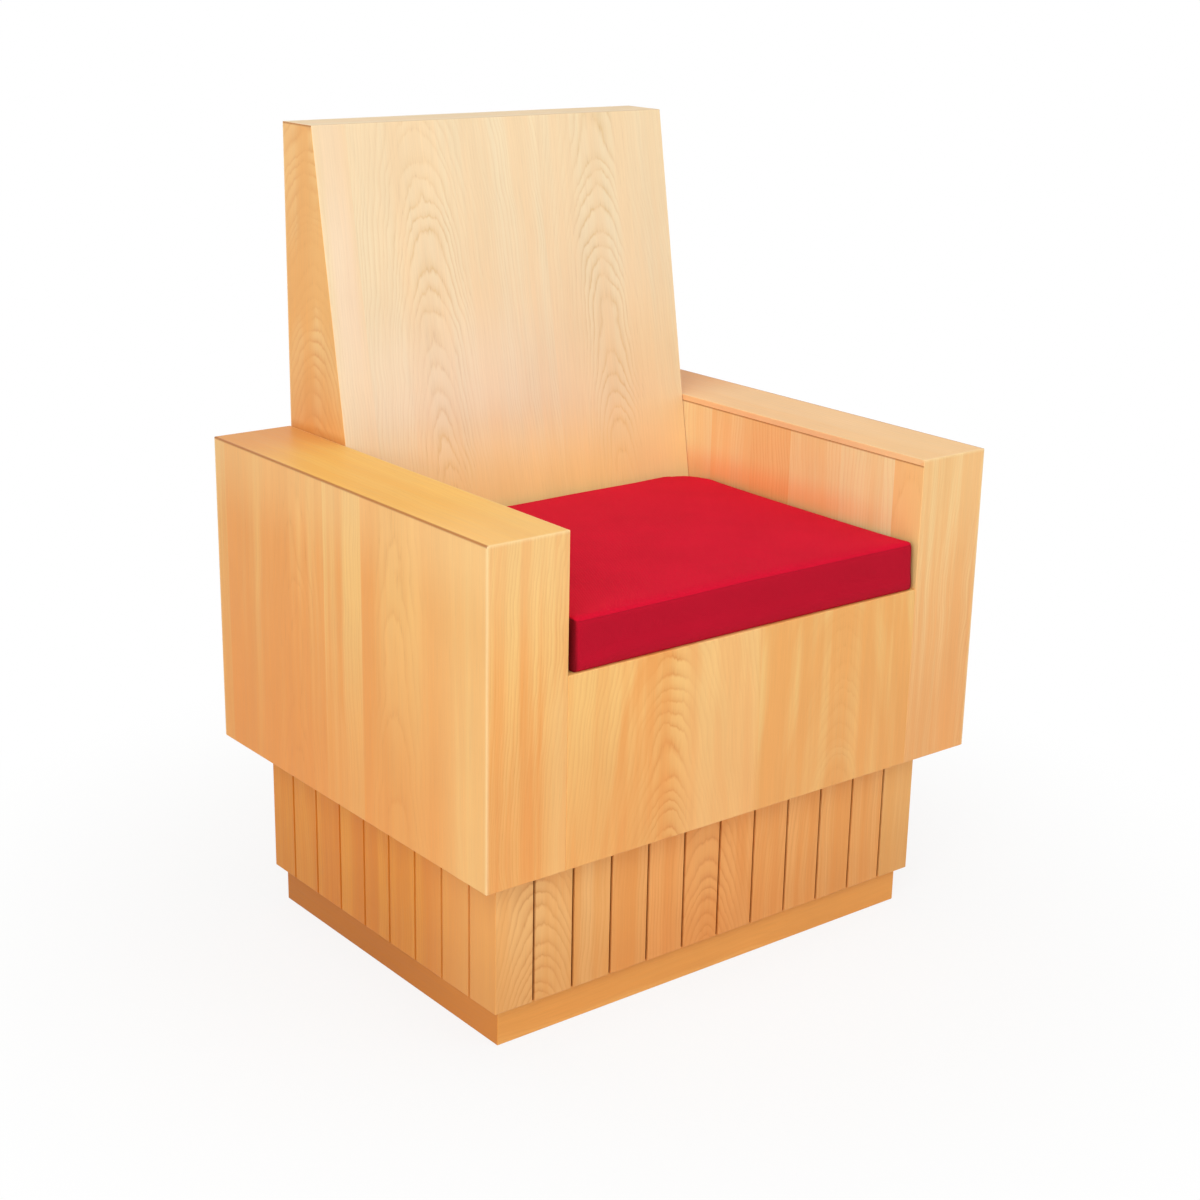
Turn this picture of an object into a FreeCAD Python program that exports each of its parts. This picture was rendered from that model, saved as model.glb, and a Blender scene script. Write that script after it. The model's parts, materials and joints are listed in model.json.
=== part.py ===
import FreeCAD, Part
import math
import os

Vector = FreeCAD.Vector

# Celebrant chair. Millimetres, +X to the right seen from the front, +Y to the rear, +Z up from the floor.

# Overall form
overall_width = 700.0
overall_depth = 540.0
overall_height = 925.0
arm_width = 100.0
arm_height = 576.0
seat_height = 424.0
box_underside = 210.0
band_overhang = 40.0
plinth_height = 44.0
plinth_setback = 10.0
back_top_depth = 62.0
back_lean_degrees = 9.7
back_side_gap = 0.5

# Boards and their edges
panel_thickness = 18.0
seat_board_thickness = 18.0
arris_radius = 1.0
cap_lip = 7.0
joint_chamfer = 0.8
coincidence = 1e-5

# Grooves that divide the base into narrow boards
slat_pitch = 52.0
groove_width = 3.6
groove_depth = 6.0

# Inner blocking
bearer_width = 25.0
bearer_height = 40.0
cleat_size = 30.0
post_size = 40.0
block_leg = 60.0
block_floor_gap = 6.0
back_rail_height = 40.0
back_rib_count = 2
arm_spacer_count = 2

# Flat biscuits across the mitres
biscuit_length = 56.0
biscuit_width = 19.0
biscuit_thickness = 4.0
biscuit_seat = 0.62
biscuit_clearance = 0.25
biscuit_spacing = 110.0

# Countersunk screws
screw_radius = 2.0
screw_head_radius = 4.0
screw_head_height = 2.4
screw_tip_length = 4.0
screw_sink = 0.5
screw_clearance = 0.15
screw_cover = 4.0
screw_spacing = 150.0
floor_screw_rows = 2
cleat_screw_count = 2

# Loose seat pad
pad_height = 60.0
pad_crown = 4.0
pad_flat_depth = 140.0
pad_curve_steps = 3
pad_edge_radius = 6.0
pad_foot_radius = 3.0
pad_draw_in = 3.0
pad_front_corner = 5.0
pad_rear_corner = 32.0
pad_corner_spread = 0.25
pad_side_gap = 7.0
pad_back_gap = 1.5
pad_front_setback = 1.0
pad_cover_thickness = 2.0
pad_board_thickness = 9.0
pad_flange = 32.0
pad_cloth_thickness = 0.5
pad_fit = 0.3
grip_width = 25.0
grip_length = 200.0
grip_spread = 240.0

# Places worked out from the sizes above
half_width = overall_width / 2
half_depth = overall_depth / 2
seat_half = half_width - arm_width
band_half_width = half_width - band_overhang
band_half_depth = half_depth - band_overhang
plinth_half_width = band_half_width - plinth_setback
plinth_half_depth = band_half_depth - plinth_setback
back_half = seat_half - back_side_gap
lean = math.tan(math.radians(back_lean_degrees))
lean_cosine = math.cos(math.radians(back_lean_degrees))
bearer_top = seat_height - seat_board_thickness
bearer_underside = bearer_top - bearer_height
floor_top = box_underside + panel_thickness
screw_bite = panel_thickness - screw_cover
seat_front = -half_depth + pad_front_setback


def back_face(height):
    return half_depth - back_top_depth - (overall_height - height) * lean


# Solids from boxes, rectangles and mitred boards
def box(x, y, z):
    return Part.makeBox(x[1] - x[0], y[1] - y[0], z[1] - z[0], Vector(x[0], y[0], z[0]))


def both_ways(half):
    return (-half, half)


def polygon_face(points):
    return Part.Face(Part.makePolygon(points + points[:1]))


def board_between(outer, inner):
    faces = [polygon_face(outer), polygon_face(inner)]
    for i in range(4):
        j = (i + 1) % 4
        faces.append(polygon_face([outer[i], outer[j], inner[j], inner[i]]))
    solid = Part.makeSolid(Part.makeShell(faces))
    if solid.Volume < 0:
        solid.reverse()
    return solid


def rectangle_across_x(x, y, z):
    return [Vector(x, y[0], z[0]), Vector(x, y[1], z[0]), Vector(x, y[1], z[1]), Vector(x, y[0], z[1])]


def rectangle_across_y(y, x, z):
    return [Vector(x[0], y, z[0]), Vector(x[1], y, z[0]), Vector(x[1], y, z[1]), Vector(x[0], y, z[1])]


def rectangle_across_z(z, x, y):
    return [Vector(x[0], y[0], z), Vector(x[1], y[0], z), Vector(x[1], y[1], z), Vector(x[0], y[1], z)]


def rounded(solid, edges):
    return solid.makeFillet(arris_radius, edges)


def shaped(board, cutters=(), hull=None):
    if hull is not None:
        board = board.common((hull,), coincidence)
    if cutters:
        board = board.cut(list(cutters), coincidence)
    return board.Solids[0]


def edges_on_plane_y(solid, y):
    def lies_there(edge):
        return all(abs(vertex.Y - y) < coincidence for vertex in edge.Vertexes)

    return [edge for edge in solid.Edges if lies_there(edge)]


def mirrored(shape):
    return shape.mirror(Vector(0, 0, 0), Vector(1, 0, 0))


def spread_between(low, high, count):
    step = (high - low) / count
    return [low + (i + 0.5) * step for i in range(count)]


def count_for(length, spacing):
    return max(1, round(length / spacing))


# Biscuits lie across a mitre, given by its outer and inner edge
def biscuit(centre, along, across, through, grow):
    half_length = biscuit_length / 2 + grow
    half_across = biscuit_width / 2 + grow
    thickness = biscuit_thickness + 2 * grow
    left = Vector(-half_length, 0, -thickness / 2)
    right = Vector(half_length, 0, -thickness / 2)
    top = Part.Arc(left, Vector(0, half_across, -thickness / 2), right).toShape()
    bottom = Part.Arc(right, Vector(0, -half_across, -thickness / 2), left).toShape()
    solid = Part.Face(Part.Wire([top, bottom])).extrude(Vector(0, 0, thickness))
    solid.Placement = FreeCAD.Placement(centre, FreeCAD.Rotation(along, across, through, "XZY"))
    return solid


def mitre_biscuits(outer_start, outer_end, inner_start, inner_end):
    along = (outer_end - outer_start).normalize()
    outer_middle = (outer_start + outer_end) * 0.5
    inner_middle = (inner_start + inner_end) * 0.5
    inward = inner_middle - outer_middle
    inward = inward - along * inward.dot(along)
    across = inward.cross(along).normalize()
    seat = outer_middle + inward * biscuit_seat
    through = Vector(inward).normalize()
    half_run = (inner_end - inner_start).Length / 2
    biscuits = []
    pockets = []
    for offset in spread_between(-half_run, half_run, count_for(2 * half_run, biscuit_spacing)):
        centre = seat + along * offset
        biscuits.append(biscuit(centre, along, across, through, 0.0))
        pockets.append(biscuit(centre, along, across, through, biscuit_clearance))
    return biscuits, pockets


# Screws are driven from a point on a face, along a direction
def turned(profile, point, direction):
    points = [Vector(radius, 0, depth) for radius, depth in profile]
    solid = polygon_face(points).revolve(Vector(0, 0, 0), Vector(0, 0, 1), 360)
    solid.Placement = FreeCAD.Placement(point, FreeCAD.Rotation(Vector(0, 0, 1), direction))
    return solid


def screw_profile(length, grow):
    return [
        (screw_head_radius + grow, screw_sink),
        (screw_radius + grow, screw_sink + screw_head_height),
        (screw_radius + grow, length - screw_tip_length),
        (0, length + grow),
    ]


def screw(point, direction, length):
    return turned([(0, screw_sink)] + screw_profile(length, 0.0), point, direction)


def screw_hole(point, direction, length):
    mouth = [(0, 0), (screw_head_radius + screw_clearance, 0)]
    return turned(mouth + screw_profile(length, screw_clearance), point, direction)


def driven(places, direction, length):
    screws = [screw(place, direction, length) for place in places]
    holes = [screw_hole(place, direction, length) for place in places]
    return screws, holes


def ring_panels(half_x, half_y, z):
    # four boards mitred at the corners of a rectangle, as front, rear, left and right
    hull = box(both_ways(half_x), both_ways(half_y), z)
    hull = rounded(hull, hull.Edges)
    x = both_ways(half_x)
    y = both_ways(half_y)
    inner_x = both_ways(half_x - panel_thickness)
    inner_y = both_ways(half_y - panel_thickness)
    boards = {
        "front": board_between(rectangle_across_y(y[0], x, z), rectangle_across_y(inner_y[0], inner_x, z)),
        "rear": board_between(rectangle_across_y(y[1], x, z), rectangle_across_y(inner_y[1], inner_x, z)),
        "left": board_between(rectangle_across_x(x[0], y, z), rectangle_across_x(inner_x[0], inner_y, z)),
        "right": board_between(rectangle_across_x(x[1], y, z), rectangle_across_x(inner_x[1], inner_y, z)),
    }
    return {side: shaped(board, hull=hull) for side, board in boards.items()}


pieces = {}

# Plinth: four mitred rails with a glue block in each corner
plinth_z = (0.0, plinth_height)
for side, rail in ring_panels(plinth_half_width, plinth_half_depth, plinth_z).items():
    pieces[f"plinth_{side}_rail"] = rail

corner_signs = [(-1, -1), (1, -1), (1, 1), (-1, 1)]
block_x = plinth_half_width - panel_thickness
block_y = plinth_half_depth - panel_thickness
base_floor_top = plinth_height + panel_thickness
plinth_screw_length = panel_thickness + screw_bite
corner_blocks = []
block_screw_places = []
for sign_x, sign_y in corner_signs:
    corner = Vector(sign_x * block_x, sign_y * block_y, block_floor_gap)
    leg_x = Vector(sign_x * block_leg, 0, 0)
    leg_y = Vector(0, sign_y * block_leg, 0)
    triangle = [corner, corner - leg_x, corner - leg_y]
    corner_blocks.append(polygon_face(triangle).extrude(Vector(0, 0, plinth_height - block_floor_gap)))
    third = block_leg / 3
    block_screw_places.append(Vector(corner.x - sign_x * third, corner.y - sign_y * third, base_floor_top))
down = Vector(0, 0, -1)
plinth_screws, plinth_holes = driven(block_screw_places, down, plinth_screw_length)
plinth_bores = Part.makeCompound(plinth_holes)
pieces["plinth_corner_blocks"] = Part.makeCompound([block.cut(plinth_bores) for block in corner_blocks])
pieces["plinth_screws"] = Part.makeCompound(plinth_screws)

# Grooved base: four mitred panels around a top board, a bottom board and corner posts
base_z = (plinth_height, box_underside)
base_inner_x = band_half_width - panel_thickness
base_inner_y = band_half_depth - panel_thickness
base_biscuits = []
base_pockets = []
for sign_x, sign_y in corner_signs:
    outer = [Vector(sign_x * band_half_width, sign_y * band_half_depth, z) for z in base_z]
    inner = [Vector(sign_x * base_inner_x, sign_y * base_inner_y, z) for z in base_z]
    biscuits, pockets = mitre_biscuits(*outer, *inner)
    base_biscuits += biscuits
    base_pockets += pockets


def groove_places(half_run):
    grooves = round(2 * half_run / slat_pitch) - 1
    return [(i - (grooves - 1) / 2) * slat_pitch for i in range(grooves)]


base_grooves = []
half_groove = groove_width / 2
for sign in (-1, 1):
    floor_y = sorted((sign * (band_half_depth - groove_depth), sign * band_half_depth))
    floor_x = sorted((sign * (band_half_width - groove_depth), sign * band_half_width))
    for place in groove_places(band_half_width):
        base_grooves.append(box((place - half_groove, place + half_groove), floor_y, base_z))
    for place in groove_places(band_half_depth):
        base_grooves.append(box(floor_x, (place - half_groove, place + half_groove), base_z))
for side, panel in ring_panels(band_half_width, band_half_depth, base_z).items():
    pieces[f"base_{side}_panel"] = shaped(panel, base_grooves + base_pockets)
pieces["base_biscuits"] = Part.makeCompound(base_biscuits)

base_bottom_board = box(both_ways(base_inner_x), both_ways(base_inner_y), (plinth_height, base_floor_top))
pieces["base_bottom_board"] = shaped(base_bottom_board, plinth_holes)
base_top_z = (box_underside - panel_thickness, box_underside)
base_top_board = box(both_ways(base_inner_x), both_ways(base_inner_y), base_top_z)
posts = []
for sign_x, sign_y in corner_signs:
    post_x = sorted((sign_x * base_inner_x, sign_x * (base_inner_x - post_size)))
    post_y = sorted((sign_y * base_inner_y, sign_y * (base_inner_y - post_size)))
    posts.append(box(post_x, post_y, (base_floor_top, base_top_z[0])))
pieces["base_corner_posts"] = Part.makeCompound(posts)

# Seat box: front and rear panels, floor, bearers and corner cleats between the arms
inner_depth = half_depth - panel_thickness
panel_z = (box_underside, seat_height)
seat_x = both_ways(seat_half)
seat_front_panel = box(seat_x, (-half_depth, -inner_depth), panel_z)
seat_front_panel = rounded(seat_front_panel, edges_on_plane_y(seat_front_panel, -half_depth))
seat_rear_panel = box(seat_x, (inner_depth, half_depth), panel_z)
seat_rear_panel = rounded(seat_rear_panel, edges_on_plane_y(seat_rear_panel, half_depth))
seat_box_floor = box(seat_x, both_ways(inner_depth), (box_underside, floor_top))

floor_screw_places = []
for x in spread_between(-seat_half, seat_half, count_for(2 * seat_half, screw_spacing)):
    for y in spread_between(-base_inner_y, base_inner_y, floor_screw_rows):
        floor_screw_places.append(Vector(x, y, floor_top))
floor_screws, floor_holes = driven(floor_screw_places, down, panel_thickness + screw_bite)
pieces["seat_box_floor"] = shaped(seat_box_floor, floor_holes)
pieces["base_top_board"] = shaped(base_top_board, floor_holes)
pieces["floor_screws"] = Part.makeCompound(floor_screws)

bearer_z = (bearer_underside, bearer_top)
bearer_run_x = seat_half - bearer_width
bearer_inner_y = inner_depth - bearer_width
seat_bearers = {
    "left": box((-seat_half, -bearer_run_x), both_ways(inner_depth), bearer_z),
    "right": box((bearer_run_x, seat_half), both_ways(inner_depth), bearer_z),
    "front": box(both_ways(bearer_run_x), (-inner_depth, -bearer_inner_y), bearer_z),
    "rear": box(both_ways(bearer_run_x), (bearer_inner_y, inner_depth), bearer_z),
}

bearer_middle = (bearer_underside + bearer_top) / 2
bearer_screw_length = bearer_width + screw_bite
bearer_screws = []
bearer_holes = []
for y in spread_between(-bearer_inner_y, bearer_inner_y, count_for(2 * bearer_inner_y, screw_spacing)):
    for sign in (-1, 1):
        place = Vector(sign * bearer_run_x, y, bearer_middle)
        screws, holes = driven([place], Vector(sign, 0, 0), bearer_screw_length)
        bearer_screws += screws
        bearer_holes += holes
for x in spread_between(-bearer_run_x, bearer_run_x, count_for(2 * bearer_run_x, screw_spacing)):
    for sign in (-1, 1):
        place = Vector(x, sign * bearer_inner_y, bearer_middle)
        screws, holes = driven([place], Vector(0, sign, 0), bearer_screw_length)
        bearer_screws += screws
        bearer_holes += holes
pieces["bearer_screws"] = Part.makeCompound(bearer_screws)

cleat_z = (floor_top, bearer_underside)
cleat_inner_x = seat_half - cleat_size
cleat_screw_length = cleat_size + screw_bite
cleats = []
cleat_screws = []
cleat_holes = []
for sign_x, sign_y in corner_signs:
    cleat_x = sorted((sign_x * cleat_inner_x, sign_x * seat_half))
    cleat_y = sorted((sign_y * (inner_depth - cleat_size), sign_y * inner_depth))
    cleats.append(box(cleat_x, cleat_y, cleat_z))
    for z in spread_between(*cleat_z, cleat_screw_count):
        place = Vector(sign_x * cleat_inner_x, sign_y * (inner_depth - cleat_size / 2), z)
        screws, holes = driven([place], Vector(sign_x, 0, 0), cleat_screw_length)
        cleat_screws += screws
        cleat_holes += holes
cleat_bores = Part.makeCompound(cleat_holes)
pieces["seat_box_cleats"] = Part.makeCompound([cleat.cut(cleat_bores) for cleat in cleats])
pieces["cleat_screws"] = Part.makeCompound(cleat_screws)
pieces["seat_front_panel"] = shaped(seat_front_panel, bearer_holes)
pieces["seat_rear_panel"] = shaped(seat_rear_panel, bearer_holes)

# Backrest: a wedge of five mitred boards on the seat board, stiffened by a rail and ribs
back_base = seat_height
back_inner_half = back_half - panel_thickness
back_inner_top = overall_height - panel_thickness
lean_offset = panel_thickness / lean_cosine


def wedge_corners(x, front_offset, rear, top):
    return [
        Vector(x, back_face(back_base) + front_offset, back_base),
        Vector(x, back_face(top) + front_offset, top),
        Vector(x, rear, top),
        Vector(x, rear, back_base),
    ]


outer_left = wedge_corners(-back_half, 0.0, half_depth, overall_height)
outer_right = wedge_corners(back_half, 0.0, half_depth, overall_height)
inner_left = wedge_corners(-back_inner_half, lean_offset, inner_depth, back_inner_top)
inner_right = wedge_corners(back_inner_half, lean_offset, inner_depth, back_inner_top)
wedge = board_between(outer_left, outer_right)
wedge = rounded(wedge, wedge.Edges)


def wedge_side(first, second):
    outer = [outer_left[first], outer_right[first], outer_right[second], outer_left[second]]
    inner = [inner_left[first], inner_right[first], inner_right[second], inner_left[second]]
    return board_between(outer, inner)


back_boards = {
    "back_front_panel": wedge_side(0, 1),
    "back_top_panel": wedge_side(1, 2),
    "back_rear_panel": wedge_side(2, 3),
    "back_left_cheek": board_between(outer_left, inner_left),
    "back_right_cheek": board_between(outer_right, inner_right),
}
back_biscuits = []
back_pockets = []
back_mitres = []
for outer, inner in ((outer_left, inner_left), (outer_right, inner_right)):
    back_mitres.append((outer[0], outer[1], inner[0], inner[1]))
    back_mitres.append((outer[2], outer[3], inner[2], inner[3]))
back_mitres.append((outer_left[1], outer_right[1], inner_left[1], inner_right[1]))
back_mitres.append((outer_left[2], outer_right[2], inner_left[2], inner_right[2]))
for mitre in back_mitres:
    biscuits, pockets = mitre_biscuits(*mitre)
    back_biscuits += biscuits
    back_pockets += pockets
for name, board in back_boards.items():
    pieces[name] = shaped(board, back_pockets, wedge)
pieces["back_biscuits"] = Part.makeCompound(back_biscuits)


def across_wedge(bottom, top, x):
    profile = [
        Vector(x[0], back_face(bottom) + lean_offset, bottom),
        Vector(x[0], back_face(top) + lean_offset, top),
        Vector(x[0], inner_depth, top),
        Vector(x[0], inner_depth, bottom),
    ]
    return polygon_face(profile).extrude(Vector(x[1] - x[0], 0, 0))


back_rail_top = back_base + back_rail_height
back_rail = across_wedge(back_base, back_rail_top, both_ways(back_inner_half))
rib_step = 2 * back_inner_half / (back_rib_count + 1)
ribs = []
for i in range(back_rib_count):
    rib_x = -back_inner_half + (i + 1) * rib_step
    rib_sides = (rib_x - panel_thickness / 2, rib_x + panel_thickness / 2)
    ribs.append(across_wedge(back_rail_top, back_inner_top, rib_sides))
pieces["back_ribs"] = Part.makeCompound(ribs)

back_screw_y = (back_face(back_rail_top) + lean_offset + bearer_inner_y) / 2
back_screw_places = []
for x in spread_between(-back_inner_half, back_inner_half, count_for(2 * back_inner_half, screw_spacing)):
    back_screw_places.append(Vector(x, back_screw_y, bearer_top))
up = Vector(0, 0, 1)
back_screws, back_holes = driven(back_screw_places, up, seat_board_thickness + screw_bite)
pieces["back_bottom_rail"] = shaped(back_rail, back_holes)
pieces["back_screws"] = Part.makeCompound(back_screws)

# Seat board, screwed to its bearers ahead of the backrest
seat_screw_x = seat_half - bearer_width / 2
seat_screw_y = inner_depth - bearer_width / 2
side_run = (-bearer_inner_y, back_face(back_base))
seat_screw_places = []
for y in spread_between(*side_run, count_for(side_run[1] - side_run[0], screw_spacing)):
    for sign in (-1, 1):
        seat_screw_places.append(Vector(sign * seat_screw_x, y, seat_height))
for x in spread_between(-bearer_run_x, bearer_run_x, count_for(2 * bearer_run_x, screw_spacing)):
    seat_screw_places.append(Vector(x, -seat_screw_y, seat_height))
seat_screws, seat_holes = driven(seat_screw_places, down, seat_board_thickness + screw_bite)
pieces["seat_board_screws"] = Part.makeCompound(seat_screws)
for side, bearer in seat_bearers.items():
    pieces[f"{side}_seat_bearer"] = shaped(bearer, bearer_holes + seat_holes)

# Grip strips in pairs, one let into the seat board and one under the pad
grip_middle = (seat_front + back_face(seat_height)) / 2
grip_thickness = pad_cover_thickness - pad_cloth_thickness


def grip_strips(low, high, grow):
    strips = []
    for sign in (-1, 1):
        x = sign * grip_spread / 2
        strip_x = (x - grip_width / 2 - grow, x + grip_width / 2 + grow)
        strip_y = (grip_middle - grip_length / 2 - grow, grip_middle + grip_length / 2 + grow)
        strips.append(box(strip_x, strip_y, (low, high)))
    return strips


grip_bed = seat_height - grip_thickness
pieces["seat_grip_strips"] = Part.makeCompound(grip_strips(grip_bed, seat_height, 0.0))
seat_board = box(seat_x, both_ways(inner_depth), (bearer_top, seat_height))
grip_beds = grip_strips(grip_bed, seat_height, pad_fit)
pieces["seat_board"] = shaped(seat_board, seat_holes + back_holes + grip_beds)

# Arms: closed mitred boxes whose cap laps the inner panel with a thin lip
arm_x = (seat_half, half_width)
arm_y = both_ways(half_depth)
arm_z = (box_underside, arm_height)
arm_inner_x = (seat_half, half_width - panel_thickness)
arm_inner_y = both_ways(inner_depth)
arm_inner_z = (box_underside, arm_height - panel_thickness)
lip_z = (box_underside, arm_height - cap_lip)
hollow_x = (seat_half + panel_thickness, half_width - panel_thickness)

arm_hull = box(arm_x, arm_y, arm_z)
arm_hull = rounded(arm_hull, arm_hull.Edges)
inner_panel = board_between(
    rectangle_across_x(arm_x[0], arm_y, lip_z),
    rectangle_across_x(hollow_x[0], arm_inner_y, lip_z),
)
arm_boards = {
    "outer_panel": board_between(
        rectangle_across_x(arm_x[1], arm_y, arm_z),
        rectangle_across_x(arm_inner_x[1], arm_inner_y, arm_inner_z),
    ),
    "cap": board_between(
        rectangle_across_z(arm_z[1], arm_x, arm_y),
        rectangle_across_z(arm_inner_z[1], arm_inner_x, arm_inner_y),
    ),
    "front_stile": board_between(
        rectangle_across_y(arm_y[0], arm_x, arm_z),
        rectangle_across_y(arm_inner_y[0], arm_inner_x, arm_inner_z),
    ),
    "rear_stile": board_between(
        rectangle_across_y(arm_y[1], arm_x, arm_z),
        rectangle_across_y(arm_inner_y[1], arm_inner_x, arm_inner_z),
    ),
}


def upright_mitre(outer_x, inner_x, outer_y, inner_y, z):
    return mitre_biscuits(
        Vector(outer_x, outer_y, z[0]),
        Vector(outer_x, outer_y, z[1]),
        Vector(inner_x, inner_y, z[0]),
        Vector(inner_x, inner_y, z[1]),
    )


arm_mitres = []
for outer_y, inner_y in zip(arm_y, arm_inner_y):
    arm_mitres.append(upright_mitre(arm_x[1], hollow_x[1], outer_y, inner_y, arm_inner_z))
    arm_mitres.append(upright_mitre(arm_x[0], hollow_x[0], outer_y, inner_y, arm_inner_z))
    arm_mitres.append(mitre_biscuits(
        Vector(arm_x[0], outer_y, arm_z[1]),
        Vector(arm_x[1], outer_y, arm_z[1]),
        Vector(hollow_x[0], inner_y, arm_inner_z[1]),
        Vector(hollow_x[1], inner_y, arm_inner_z[1]),
    ))
arm_mitres.append(mitre_biscuits(
    Vector(arm_x[1], arm_y[0], arm_z[1]),
    Vector(arm_x[1], arm_y[1], arm_z[1]),
    Vector(hollow_x[1], arm_inner_y[0], arm_inner_z[1]),
    Vector(hollow_x[1], arm_inner_y[1], arm_inner_z[1]),
))
arm_biscuits = [piece for biscuits, pockets in arm_mitres for piece in biscuits]
arm_pockets = [pocket for biscuits, pockets in arm_mitres for pocket in pockets]

lip_corner = Vector(arm_x[0], arm_y[0], lip_z[1])
lip_inward = Vector(joint_chamfer, 0, 0)
lip_down = Vector(0, 0, -joint_chamfer)
lip_triangle = [lip_corner, lip_corner + lip_inward, lip_corner + lip_down]
lip_chamfer = polygon_face(lip_triangle).extrude(Vector(0, overall_depth, 0))
for name, board in arm_boards.items():
    arm_boards[name] = shaped(board, [inner_panel] + arm_pockets, arm_hull)
inner_panel_cuts = [lip_chamfer] + arm_pockets + bearer_holes + cleat_holes
arm_boards["inner_panel"] = shaped(inner_panel, inner_panel_cuts, arm_hull)
arm_boards["bottom_rail"] = box(hollow_x, arm_inner_y, (box_underside, floor_top))
spacers = []
for y in spread_between(*arm_inner_y, arm_spacer_count):
    spacer_y = (y - panel_thickness / 2, y + panel_thickness / 2)
    spacers.append(box(hollow_x, spacer_y, (floor_top, arm_inner_z[1])))
arm_boards["spacers"] = Part.makeCompound(spacers)
arm_boards["biscuits"] = Part.makeCompound(arm_biscuits)
for name, board in arm_boards.items():
    pieces[f"right_arm_{name}"] = board
    pieces[f"left_arm_{name}"] = mirrored(board)


# Seat pad: outlines with drawn-in sides and round corners, lofted up to a low crown
def pad_outline(height, inset):
    half = seat_half - pad_side_gap - inset
    front = seat_front + inset
    rear = back_face(seat_height + height) - pad_back_gap - inset
    front_corner = pad_front_corner + pad_corner_spread * inset
    rear_corner = pad_rear_corner + pad_corner_spread * inset
    middle = (front + rear) / 2
    z = seat_height + height
    bulge = 1 - math.sqrt(0.5)

    def arc(start, through, end):
        return Part.Arc(Vector(*start, z), Vector(*through, z), Vector(*end, z)).toShape()

    front_left = (-half + front_corner, front)
    front_right = (half - front_corner, front)
    right_front = (half, front + front_corner)
    right_rear = (half, rear - rear_corner)
    rear_right = (half - rear_corner, rear)
    rear_left = (-half + rear_corner, rear)
    left_rear = (-half, rear - rear_corner)
    left_front = (-half, front + front_corner)
    near = bulge * front_corner
    far = bulge * rear_corner
    edges = [
        arc(front_left, (0, front + pad_draw_in), front_right),
        arc(front_right, (half - near, front + near), right_front),
        arc(right_front, (half - pad_draw_in, middle), right_rear),
        arc(right_rear, (half - far, rear - far), rear_right),
        arc(rear_right, (0, rear - pad_draw_in), rear_left),
        arc(rear_left, (-half + far, rear - far), left_rear),
        arc(left_rear, (-half + pad_draw_in, middle), left_front),
        arc(left_front, (-half + near, front + near), front_left),
    ]
    return Part.Wire(edges)


pad_floor = pad_cover_thickness
pad_depth = back_face(seat_height + pad_height) - pad_back_gap - seat_front
pad_crown_run = (pad_depth - pad_flat_depth) / 2 - pad_edge_radius


def pad_form(shrink, foot):
    # heights and insets of the outlines, from the foot over the rounded edge to the crown
    rim = pad_height - pad_crown - shrink
    edge_start = rim - pad_edge_radius
    outline_sizes = [(foot, pad_foot_radius), (foot + pad_foot_radius, 0.0), (edge_start, 0.0)]
    turns = [math.pi / 2 * (i + 1) / pad_curve_steps for i in range(pad_curve_steps)]
    for turn in turns:
        rise = edge_start + pad_edge_radius * math.sin(turn)
        outline_sizes.append((rise, pad_edge_radius * (1 - math.cos(turn))))
    for turn in turns:
        run = pad_edge_radius + pad_crown_run * (1 - math.cos(turn))
        outline_sizes.append((rim + pad_crown * math.sin(turn), run))
    wires = [pad_outline(height, inset + shrink) for height, inset in outline_sizes]
    return Part.makeLoft(wires, True, True)


pad_board_inset = pad_cover_thickness + pad_foot_radius + pad_fit
pad_board_outline = pad_outline(pad_floor, pad_board_inset)
pieces["pad_board"] = Part.Face(pad_board_outline).extrude(Vector(0, 0, pad_board_thickness))
pieces["pad_foam"] = pad_form(pad_cover_thickness + pad_fit, pad_floor + pad_board_thickness)

window_half = seat_half - pad_side_gap - pad_flange
window_y = (seat_front + pad_flange, back_face(seat_height) - pad_back_gap - pad_flange)
window_z = (seat_height, seat_height + pad_floor)
window = box(both_ways(window_half), window_y, window_z)
pad_cavity = pad_form(pad_cover_thickness, pad_floor)
pieces["pad_cover"] = shaped(pad_form(0.0, 0.0), [pad_cavity, window])
cloth_x = both_ways(window_half - pad_fit)
cloth_y = (window_y[0] + pad_fit, window_y[1] - pad_fit)
cloth_z = (seat_height + grip_thickness, seat_height + pad_floor)
pieces["pad_dust_cloth"] = box(cloth_x, cloth_y, cloth_z)
pieces["pad_grip_strips"] = Part.makeCompound(grip_strips(seat_height, cloth_z[0], 0.0))

os.makedirs("parts", exist_ok=True)
for name, shape in pieces.items():
    shape.exportStep(f"parts/{name}.step")
print(len(pieces), "pieces written")
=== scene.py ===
import bpy
import bmesh
import json
import math
import random
from mathutils import Matrix, Vector, noise


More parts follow.
